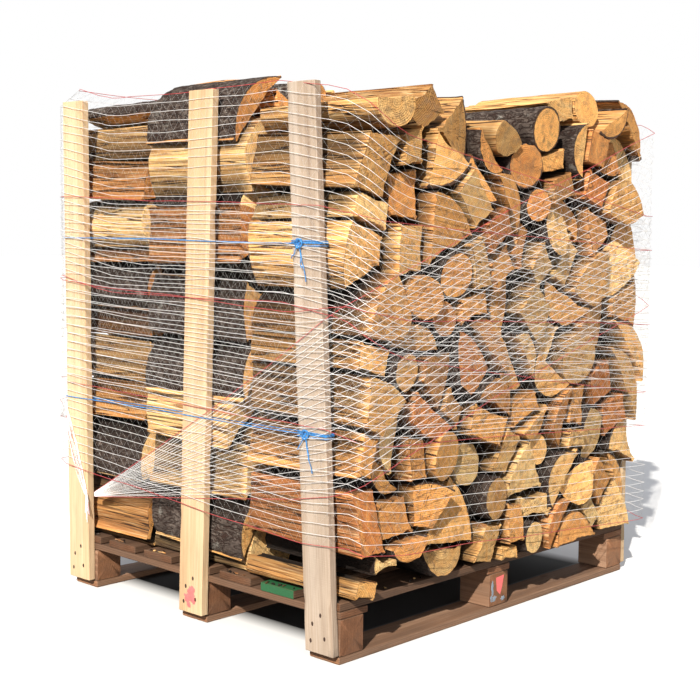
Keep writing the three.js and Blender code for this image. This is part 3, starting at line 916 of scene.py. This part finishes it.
def add_plank(builder, start, end, wide, thick, seed, step=12 * MM, tone=None):
    """Adds a worn plank between the middles of its two ends. wide and thick are sizes as vectors."""
    random = np.random.default_rng(seed)
    start, end = np.asarray(start), np.asarray(end)
    across, through = unit(wide), unit(thick)
    length = np.linalg.norm(end - start)
    along = (end - start) / length
    ring = rounded_rectangle(np.linalg.norm(wide), np.linalg.norm(thick), step, PLANK_CORNER)
    around = len(ring)
    full = np.ptp(ring, axis=0)
    inner = np.linspace(PLANK_BEVEL, length - PLANK_BEVEL, max(3, round(length / (22 * MM))))
    rings = []
    for spot in np.concatenate([[0], inner, [length]]):
        size = 1 if 0 < spot < length else 1 - 2 * PLANK_BEVEL / full
        rings.append(rows_of(*(ring * size).T, spot))
    flat = np.concatenate(rings)
    offset = random.uniform(0, 30, 3)
    inset = WEAR * (0.55 + 0.45 * noise(flat + offset, (40 * MM, 40 * MM, 0.13), seed))
    near_corner = np.hypot(*(flat[:, :2] / full * 2).T) > EDGE_OF_PLANK
    chip = np.maximum(0, noise(flat + offset, (60 * MM, 60 * MM, 0.05), seed + 5) - 0.35) * 4 * MM
    inset = inset + np.where(near_corner, chip, 0)
    flat[:, :2] *= np.maximum(0.2, 1 - inset[:, None] / (full / 2))
    total = len(flat)
    groups = [
        (ring_quads(len(rings), around), SIDE),
        (fan(np.arange(around), total)[:, ::-1], CUT),
        (fan(np.arange(total - around, total), total + 1), CUT),
    ]
    if np.dot(np.cross(across, through), along) < 0:
        groups = [(faces[:, ::-1], slot) for faces, slot in groups]
    flat = np.concatenate([flat, [[0, 0, 0], [0, 0, length]]])
    points = start + flat @ np.array([across, through, along])
    builder.add(points, groups, flat + offset, tone or tuple(random.random(3)))


def box_plank(builder, node, long_axis, seed, tone):
    """Adds a plank that fills a node's box."""
    low, high = (np.array(corner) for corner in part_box(node))
    middle = (low + high) / 2
    edges = np.diag(high - low)
    reach = edges[long_axis] / 2
    others = [edges[axis] for axis in range(3) if axis != long_axis]
    wide, thick = sorted(others, key=np.linalg.norm, reverse=True)
    add_plank(builder, middle - reach, middle + reach, wide, thick, seed, tone=tone)


def post_line(node):
    """The middles of a post's foot and head."""
    points = node_triangles(node).reshape(-1, 3)
    ends = []
    for height in (points[:, 2].min(), points[:, 2].max()):
        level = points[np.abs(points[:, 2] - height) < 1 * MM]
        ends.append((level.min(axis=0) + level.max(axis=0)) / 2)
    return ends


def post_y(line, height, edge=0):
    """The Y of a post at a height: at its middle line, or at its edge where edge is -1 or 1."""
    foot, head = line
    share = (height - foot[2]) / (head[2] - foot[2])
    return foot[1] + share * (head[1] - foot[1]) + edge * POST_WIDTH / 2


def build_posts(materials, front_materials):
    for i, (node, tone) in enumerate(POST_TONES.items()):
        builder = Builder()
        chosen = front_materials if node == "post_left_front" else materials
        foot, head = post_line(node)
        wide, thick = (0, POST_WIDTH, 0), (POST_THICK, 0, 0)
        add_plank(builder, foot, head, wide, thick, POST_SEED + i, 8 * MM, tone)
        settle(builder.finish(f"{node}_plank", chosen, PLANK_CREASE), "post_wood", node)


def build_pallet(materials):
    kinds = {"skid_": 0, "stringer_": 1, "deck_board_": 0, "block_": 1}
    for kind, long_axis in kinds.items():
        for node in sorted(name for name in NODES if name.startswith(kind)):
            builder = Builder()
            seed = sum(map(ord, node))
            tone = BLOCK_TONES.get(node, DECK_TONE if kind == "deck_board_" else None)
            box_plank(builder, node, long_axis, seed, tone)
            settle(builder.finish(f"{node}_plank", materials, PLANK_CREASE), "pallet_wood", node)


# ------------------------------------------------------------------ nails, paint and bark chips

PATCH_CREASE = math.radians(30)
CHIP_CREASE = math.radians(40)
NAIL = 3.4 * MM
TALL_NAIL = (3.4 * MM, 5.4 * MM)
# Each post nail's height in mm, and how far from the post's middle it is, with 1 at the edge.
POST_NAILS = ((60, -0.44), (88, 0.4), (48, 0.56), (112, -0.2))
COAT = 0.4 * MM
GREEN, PINK, BLUE = 0, 1, 2
# Each mark's place beside and above its starting point, and its two radii, all in mm.
PINK_MARKS = ((-4, 74, (15, 19)), (9, 60, (11, 13)), (-14, 58, (8, 10)), (4, 43, (7, 9)))
BLUE_MARKS = ((-26, 4, (5, 22)), (-17, -24, (9, 7)), (20, -28, (8, 6)), (-30, -22, (4, 9)))
SQUARE = np.array([(-1.0, -1.0), (1, -1), (1, 1), (-1, 1)])
PINK_SHAPE = np.array([(-1, 0.9), (-0.75, -0.5), (0.1, -1), (0.55, -0.2), (1, 1)])
DECK_EDGE = (0.5955, 0.5995)
CHIPS_ON_BOARD = 7
CHIPS_IN_FRONT = 46
CHIP_SIDES = 9


def rough_disc(radii, around, ragged=0.0, seed=0):
    """The outline of a disc, with an uneven rim where ragged is above 0."""
    angles = np.arange(around) / around * TURN
    wild = 1 + ragged * np.random.default_rng(seed).uniform(-1, 1, around)
    return -np.column_stack([np.cos(angles) * wild, np.sin(angles) * wild]) * radii


def add_patch(builder, middle, outward, rim, rise, slot=0, shrink=1.0, dome=1.0):
    """Adds a thin raised patch on a flat face. Its rim goes anticlockwise, seen from outside."""
    outward = np.asarray(outward, float)
    side = unit(np.cross((0, 0, 1) if abs(outward[2]) < 0.5 else (0, 1, 0), outward))
    flat = rim @ np.array([side, np.cross(outward, side)])
    count = len(flat)
    centre = outward * rise * dome
    points = middle + np.concatenate([flat, flat * shrink + outward * rise, centre[None]])
    groups = [(ring_quads(2, count), slot), (fan(np.arange(count, 2 * count), 2 * count), slot)]
    builder.add(points, groups)


def add_dome(builder, middle, outward, rim, rise, slot=0):
    add_patch(builder, middle, outward, rim, rise, slot, 0.86, 1.2)


def build_nails(material):
    """Pairs of nails under the skids where the blocks are, and nails in the feet of the posts."""
    builder = Builder()
    for node in sorted(NODES):
        low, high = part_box(node)
        if node.startswith("skid_"):
            for share in (0.035, 0.5, 0.965):
                for step in (0.3, 0.7):
                    spot = (low.x + share * (high.x - low.x), low.y + step * (high.y - low.y), low.z)
                    add_dome(builder, spot, (0, 0, -1), rough_disc(NAIL, 12), 0.1 * MM)
        if node.startswith("post_"):
            outward = -1 if low.x < 0 else 1
            face = (low.x if outward < 0 else high.x) - outward * 0.3 * MM
            line = post_line(node)
            for height, edge in POST_NAILS:
                spot = (face, post_y(line, height * MM, edge), height * MM)
                add_dome(builder, spot, (outward, 0, 0), rough_disc(TALL_NAIL, 12), 0.7 * MM)
    settle(builder.finish("nails", [material], PATCH_CREASE), "nail_steel")


def build_paint(materials):
    """A green board end, and pink marks on a post foot and on the middle block of the front."""
    builder = Builder()
    low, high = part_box("deck_board_2")
    middle = (low + high) / 2
    end = (low.x, middle.y, middle.z)
    top = (low.x + 16 * MM, middle.y, high.z - 0.5 * MM)
    add_patch(builder, end, (-1, 0, 0), SQUARE * (55 * MM, 9.4 * MM), COAT, GREEN)
    add_patch(builder, top, (0, 0, 1), SQUARE * (15 * MM, 55 * MM), COAT, GREEN)
    foot, _ = post_line("post_left_middle")
    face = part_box("post_left_middle")[0].x + COAT
    for i, (y, z, size) in enumerate(PINK_MARKS):
        disc = rough_disc(np.array(size) * MM, 22, 0.32, 60 + i)
        add_dome(builder, (face, foot[1] + y * MM, z * MM), (-1, 0, 0), disc, COAT, PINK)
    low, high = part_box("block_middle_front")
    middle = (low + high) / 2
    spot = (middle.x + 6 * MM, low.y, middle.z + 8 * MM)
    add_patch(builder, spot, (0, -1, 0), PINK_SHAPE * (17 * MM, 25 * MM), COAT, PINK)
    for i, (x, z, size) in enumerate(BLUE_MARKS):
        disc = rough_disc(np.array(size) * MM, 18, 0.4, 80 + i)
        spot = (middle.x + x * MM, low.y, middle.z + z * MM)
        add_dome(builder, spot, (0, -1, 0), disc, 0.3 * MM, BLUE)
    settle(builder.finish("paint_marks", materials, PATCH_CREASE), "paint")


def build_chips(materials):
    """Flakes of bark and splinters lying on the edges of the deck."""
    builder = Builder()
    random = np.random.default_rng(5)
    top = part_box("deck_board_1")[1].z
    for node in sorted(name for name in NODES if name.startswith("deck_board_")):
        low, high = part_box(node)
        for side in (-1, 1):
            for _ in range(CHIPS_ON_BOARD):
                x = side * random.uniform(*DECK_EDGE) - side * random.uniform(0, 0.012)
                y = random.uniform(low.y + 0.012, high.y - 0.012)
                add_chip(builder, random, (x, y, top))
    for _ in range(CHIPS_IN_FRONT):
        y = -random.uniform(0.478, 0.496)
        add_chip(builder, random, (random.uniform(-0.55, 0.57), y, top), 0.8)
    settle(builder.finish("bark_chips", materials, CHIP_CREASE), "bark")


def add_chip(builder, random, place, scale=1.0):
    """Adds one flake: a bent, uneven plate."""
    around = CHIP_SIDES
    angles = np.arange(around) / around * TURN
    length, width = random.uniform(7, 20) * MM * scale, random.uniform(3, 8) * MM * scale
    thick = random.uniform(1.2, 3.2) * MM
    wild = random.uniform(0.7, 1.15, around)
    flat = np.column_stack([np.cos(angles) * length / 2 * wild, np.sin(angles) * width / 2 * wild])
    spin = random.uniform(0, TURN)
    flat = flat @ np.array([[math.cos(spin), math.sin(spin)], [-math.sin(spin), math.cos(spin)]])
    slope = flat @ random.uniform(-0.16, 0.16, 2)
    base = np.column_stack([flat, slope + np.abs(slope).max() + 0.3 * MM])
    top = base * (0.85, 0.85, 1) + (0, 0, thick)
    points = np.concatenate([base, top, [base.mean(axis=0)], [top.mean(axis=0) + (0, 0, thick * 0.3)]])
    slot = int(random.random() < 0.45)
    groups = [
        (ring_quads(2, around), slot),
        (fan(np.arange(around), 2 * around)[:, ::-1], slot),
        (fan(np.arange(around, 2 * around), 2 * around + 1), slot),
    ]
    builder.add(points + np.array(place), groups, (0, 9, 0), tuple(random.random(3)))


# ------------------------------------------------------------------ net

FIRST_TURN = 0.029
TURNS = 3.998
YARNS = 23
# Each pair is how many turns the net has made and a height or a width in mm.
UPPER_EDGE = (
    (0.029, 271), (0.142, 540), (0.25, 815), (0.36, 1035), (0.4715, 1235), (0.5, 1285),
    (0.62, 1325), (0.75, 1338), (1.0, 1345), (1.055, 1308), (1.124, 1309), (1.206, 1318),
    (1.25, 1288), (1.285, 1195), (1.402, 1095), (1.48, 1032), (1.6, 1025), (1.75, 1050),
    (2.01, 1060), (2.085, 1048), (2.237, 1035), (2.272, 1001), (2.487, 935), (2.75, 880),
    (3.0, 832), (3.125, 810), (3.212, 797), (3.25, 812), (3.29, 780), (3.5, 722), (3.75, 690),
    (3.9, 600), (3.998, 486),
)
NET_WIDTH = (
    (0.029, 12), (0.142, 215), (0.237, 395), (0.25, 415), (0.47, 480), (0.75, 500),
    (3.0, 500), (3.25, 532), (3.48, 560), (3.75, 480), (3.9, 250), (3.998, 18),
)
# The share of a turn at which the net passes each corner of its plan.
PLAN_TURNS = np.array([0, 0.236, 0.264, 0.486, 0.514, 0.736, 0.764, 0.986, 1.0])
AROUND_BOX = 4.6
LONG_STEP = 42 * MM
CROSS_STEP = 17 * MM
YARN = 0.68 * MM
CROSS_YARN = 0.19 * MM
LAYER = 1.1 * MM
TOP_BEND = 1.3
NET_SEED = 11
WHITE, RED, CROSS = 0, 1, 2


def net_plan(height):
    """The corners of the net in plan at each height: round the posts and past the log ends."""
    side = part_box("post_right_middle")[1].x + 1.6 * MM
    low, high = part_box("near_row_logs")
    wall = high.x + 2 * MM
    front = low.y - 2.5 * MM
    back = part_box("far_row_logs")[1].y + 2.5 * MM
    corners = [
        (-side, post_y(post_line("post_left_back"), height, 1)),
        (-side, post_y(post_line("post_left_front"), height, -1)),
        (-wall, front),
        (wall, front),
        (side, post_y(post_line("post_right_front"), height, -1)),
        (side, post_y(post_line("post_right_back"), height, 1)),
        (wall, back),
        (-wall, back),
    ]
    return np.stack([rows_of(x, y + height * 0) for x, y in corners], axis=1)


def net_points(turns, share, seed):
    """Where the net lies after some turns, at a share of its width from 0 at the upper edge to 1."""
    upper = np.interp(turns, *zip(*UPPER_EDGE)) * MM
    width = np.interp(turns, *zip(*NET_WIDTH)) * MM
    lane = rows_of(turns * 4.5, share * YARNS, 0)
    waves = 2.2 * noise(rows_of(turns * 4.5, 0, 0), (0.22, 1, 1), 3)
    waves = waves + 4.6 * noise(lane, (0.17, 1.3, 1), seed) + 1.1 * noise(lane, (0.045, 0.9, 1), seed + 2)
    height = upper - width * share + waves * MM * np.minimum(1, width / 0.3)
    corners = net_plan(height)
    part = turns % 1.0
    spot = np.clip(np.searchsorted(PLAN_TURNS, part, side="right") - 1, 0, 7)
    along = (part - PLAN_TURNS[spot]) / (PLAN_TURNS[spot + 1] - PLAN_TURNS[spot])
    rows = np.arange(len(part))
    start, end = corners[rows, spot], corners[rows, (spot + 1) % 8]
    flat = start + (end - start) * along[:, None]
    swell = 1 + (np.floor(turns) + 1) * LAYER / 0.6
    dent = 3.2 * MM * (0.5 + 0.5 * noise(lane, (0.16, 4, 1), seed + 1)) * np.sin(np.pi * along)
    over_top = 1.1 * np.maximum(0, height - TOP_BEND)
    size = np.linalg.norm(flat, axis=1)
    flat = flat * ((1 - (dent + over_top) / size) * swell)[:, None]
    return rows_of(*flat.T, height)


def unit_rows(vectors):
    return vectors / np.maximum(np.linalg.norm(vectors, axis=1, keepdims=True), 1e-9)


def add_yarn(builder, line, radius, slot=0, around=3):
    """Adds a thin round yarn along a line of points."""
    ahead = unit_rows(np.gradient(line, axis=0))
    side = unit_rows(np.cross(ahead, (0.08, 0.05, 1)))
    up = np.cross(side, ahead)
    rings = []
    for angle in np.arange(around) / around * TURN + 0.4:
        rings.append(line + radius * (math.cos(angle) * side + math.sin(angle) * up))
    points = np.stack(rings, axis=1).reshape(-1, 3)
    builder.add(points, [(ring_quads(len(line), around)[:, ::-1], slot)])


def build_net(materials):
    """One long strip of net: level yarns, and a yarn that zigzags between each pair of them."""
    turns = np.arange(FIRST_TURN, TURNS, LONG_STEP / AROUND_BOX)
    corners = (np.arange(5)[:, None] + PLAN_TURNS[None, :-1]).ravel()
    turns = np.unique(np.concatenate([turns, corners[(corners > 0.03) & (corners < TURNS)]]))
    builder = Builder()
    for yarn in range(YARNS):
        edge = yarn in (0, YARNS - 1)
        line = net_points(turns, np.full(len(turns), yarn / (YARNS - 1)), NET_SEED)
        add_yarn(builder, line, YARN * (1.35 if edge else 1), RED if edge else WHITE)
    settle(builder.finish("net_long_yarns", materials, math.pi), "net_yarn", "net")
    step = CROSS_STEP / AROUND_BOX
    half = np.arange(0.06, TURNS - 0.03, step)
    for part, lanes in enumerate((range(11), range(11, YARNS - 1))):
        builder = Builder()
        for yarn in lanes:
            jump = (np.arange(len(half)) + yarn) % 2
            jitter = 0.75 * step * noise(rows_of(half / step, 0, yarn), (1.3, 1, 1), 4)
            share = (yarn + 0.04 + 0.92 * jump) / (YARNS - 1)
            add_yarn(builder, net_points(half + jitter, share, NET_SEED), CROSS_YARN, CROSS)
        piece = builder.finish(f"net_cross_yarns_{part + 1}", materials, math.pi)
        settle(piece, "net_yarn", "net")


def build_gathers(materials):
    """The net's two ends, bunched like a rope round the left back post, and loose ends below."""
    builder = Builder()
    random = np.random.default_rng(12)
    line = post_line("post_left_back")
    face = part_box("post_left_back")[0].x
    share = np.linspace(0, 1, 15)
    bunch = np.sin(share * np.pi) ** 0.7
    for strand in range(20):
        spread = random.normal(0, 1, 3)
        height = (0.475 + 0.02 * spread[0]) * (1 - share) + (0.268 + 0.006 * spread[1]) * share
        y = post_y(line, height, 1) * (1 - share) + post_y(line, height, -0.95) * share
        y = y + 14 * MM * spread[2] * bunch
        height = height + 17 * MM * spread[1] * bunch
        twist = share * TURN * 1.6 + strand
        x = face - 2.2 * MM - np.abs(1.6 * MM * np.sin(twist)) - 1.2 * MM * random.random()
        strand_line = rows_of(x, y + 1.5 * MM * np.cos(twist), height)
        add_yarn(builder, strand_line, 0.6 * MM, RED if strand % 10 == 0 else WHITE)
    share = np.linspace(0, 1, 9)
    for strand in range(16):
        spread = random.normal(0, 1, 3)
        y = post_y(line, 0.40 - 0.25 * share, -0.98) + 8 * MM * spread[0] * share * (1 - 0.2 * share)
        height = 0.272 - (0.052 + 0.014 * spread[1]) * share
        x = face - 2.0 * MM - 2 * MM * share * abs(spread[2])
        add_yarn(builder, rows_of(x, y, height), 0.9 * MM, RED if strand == 3 else WHITE)
    settle(builder.finish("net_gather", materials, math.pi), "net_yarn", "net")


# ------------------------------------------------------------------ twine

TWINE = 1.3 * MM
TWINE_INSET = 1.4 * MM
TWINE_BEND = 2.2 * MM
TWINE_STEP = 8 * MM
TWINE_SIDES = 6
TAIL = 1.15 * MM
# Each winding's height over the twine's own, in mm: one loop, then short turns round the front post.
WINDINGS = (0.0, -4.6, 3.6, 6.6)
# Each tail's length and how far it drifts along the post.
TAILS = ((0.055, -0.012), (0.085, -0.024), (0.035, 0.02))
KNOT_SEEDS = {"upper": 3, "lower": 8}


def twine_path(front, back, x_in, x_out):
    """A loop round the outer faces of two posts and behind them, with rounded corners."""
    corners = np.array([(x_in, front), (x_out, front), (x_out, back), (x_in, back)])
    points = []
    for i, here in enumerate(corners):
        a, b = (here + unit(corners[j % 4] - here) * TWINE_BEND for j in (i - 1, i + 1))
        for share in (0.0, 0.5, 1.0):
            points.append(a * (1 - share) ** 2 + here * 2 * share * (1 - share) + b * share ** 2)
    return np.array(points)


def resampled(path, step):
    """Points at even steps round a closed path, with the first repeated at the end."""
    closed = np.concatenate([path, path[:1]])
    lengths = np.concatenate([[0], np.cumsum(np.hypot(*np.diff(closed, axis=0).T))])
    spots = np.unique(np.concatenate([np.arange(0, lengths[-1], step), lengths]))
    return np.column_stack([np.interp(spots, lengths, closed[:, i]) for i in (0, 1)])


def build_twine(material):
    """Blue twine round the posts of each side, knotted on the front post with loose tails."""
    for side_name, side in (("left", -1), ("right", 1)):
        for level, seed in KNOT_SEEDS.items():
            node = f"twine_{side_name}_{level}"
            low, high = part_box(node)
            height = (low.z + high.z) / 2
            x_in, x_out = (high.x, low.x) if side < 0 else (low.x, high.x)
            builder = Builder()
            for wind, rise in enumerate(WINDINGS):
                front = low.y + TWINE_INSET
                back = low.y + POST_WIDTH + 4 * MM if wind else high.y - TWINE_INSET
                path = twine_path(front, back, x_in - side * TWINE_INSET, x_out - side * TWINE_INSET)
                x, y = resampled(path, TWINE_STEP).T
                z = height + rise * MM + 1.2 * MM * np.sin(y * 9 + wind)
                add_yarn(builder, rows_of(x, y, z), TWINE, 0, TWINE_SIDES)
            add_knot(builder, x_out, low.y + POST_WIDTH * 0.72, height, side, seed)
            settle(builder.finish(f"{node}_cord", [material], math.pi), "twine", node)


def add_knot(builder, x, y, z, side, seed):
    """A lump of turns with loose tails that hang down the post."""
    angle = np.linspace(0, TURN * 3.5, 60)
    lump = rows_of(
        x + side * (1.0 + 3.4 * (0.5 + 0.5 * np.sin(angle * 1.3))) * MM,
        y + 10 * MM * np.cos(angle) + 3 * MM * np.sin(2.3 * angle),
        z + 9 * MM * np.sin(angle) + 2 * MM * np.cos(3.1 * angle),
    )
    add_yarn(builder, lump, TWINE, 0, TWINE_SIDES)
    for reach, drift in TAILS:
        share = np.linspace(0, 1, 16)
        wave = noise(rows_of(share * 5, 0, reach * 90), (1, 1, 1), seed)
        tail = rows_of(
            x + side * (1.6 + 2.2 * share + 1.4 * np.abs(wave)) * MM,
            y + drift * share + 5 * MM * wave * share,
            z - reach * share,
        )
        add_yarn(builder, tail, TAIL, 0, TWINE_SIDES)


# ------------------------------------------------------------------ everything

FLOOR_REACH = 30
# The shade's middle on both axes, and its half sizes.
SHADE_MIDDLE = 50 * MM
SHADE_HALVES = (0.51, 0.41)


def add_floor():
    """A pale floor with a painted shadow under the pallet. It throws no light back up at the object."""
    mesh = bpy.data.meshes.new("floor")
    mesh.from_pydata([(*(SQUARE[i] * FLOOR_REACH), 0) for i in range(4)], [], [(0, 1, 2, 3)])
    floor = bpy.data.objects.new("floor", mesh)
    bpy.context.scene.collection.objects.link(floor)
    shader = Shader("floor", 0.9)
    spot = shader.split(shader.place())
    past = []
    for axis, half in enumerate(SHADE_HALVES):
        off = shader.math("ABSOLUTE", shader.minus(spot[axis], SHADE_MIDDLE))
        past.append(shader.minus(off, half))
    outside = shader.times(shader.math("MAXIMUM", *past), 10.0)
    # Painted shadow: near black inside the box under the pallet, pale outside it.
    mesh.materials.append(shader.finish(shader.ramp(outside, (0.0, 0.05), (0.7, 0.82))))
    floor.visible_diffuse = False


add_camera()
for lamp in LAMPS:
    add_lamp(*lamp)
add_sky()
add_floor()
bark = log_bark()
build_logs([end_grain(), split_face(), bark])
post_cut = plank_wood("post_cut", POST_CUT, 0.4, 0.9)
post_side = plank_wood("post_side", POST_WOOD, 0.30, 0.5)
front_post_side = plank_wood("front_post_side", FRONT_POST_WOOD, 0.35, 0.7)
build_posts([post_side, post_cut], [front_post_side, post_cut])
pallet_side = plank_wood("pallet_side", PALLET_WOOD, 0.6, 0.8)
build_pallet([pallet_side, plank_wood("pallet_cut", PALLET_CUT, 0.6, 1.0)])
build_nails(plain("rusty_steel", (0.06, 0.035, 0.025), 0.6, 0.4, 900.0, 0.4))
build_paint([
    plain("green_paint", (0.022, 0.105, 0.04), 0.5),
    plain("pink_paint", (0.93, 0.18, 0.17), 0.55),
    plain("blue_paint", (0.26, 0.31, 0.36), 0.6),
])
build_chips([bark, split_face()])
# The white yarns glow a little: painted light that keeps them bright in shade.
yarn_white = plain("net_white", (0.88, 0.87, 0.86), 0.4, painted_glow=0.22)
yarn_red = plain("net_red", (0.62, 0.09, 0.10), 0.45)
build_net([yarn_white, yarn_red, plain("net_cross", (0.66, 0.65, 0.63), 0.5)])
build_gathers([yarn_white, yarn_red])
build_twine(plain("blue_twine", (0.055, 0.24, 0.56), 0.4, 0.5, 120.0))
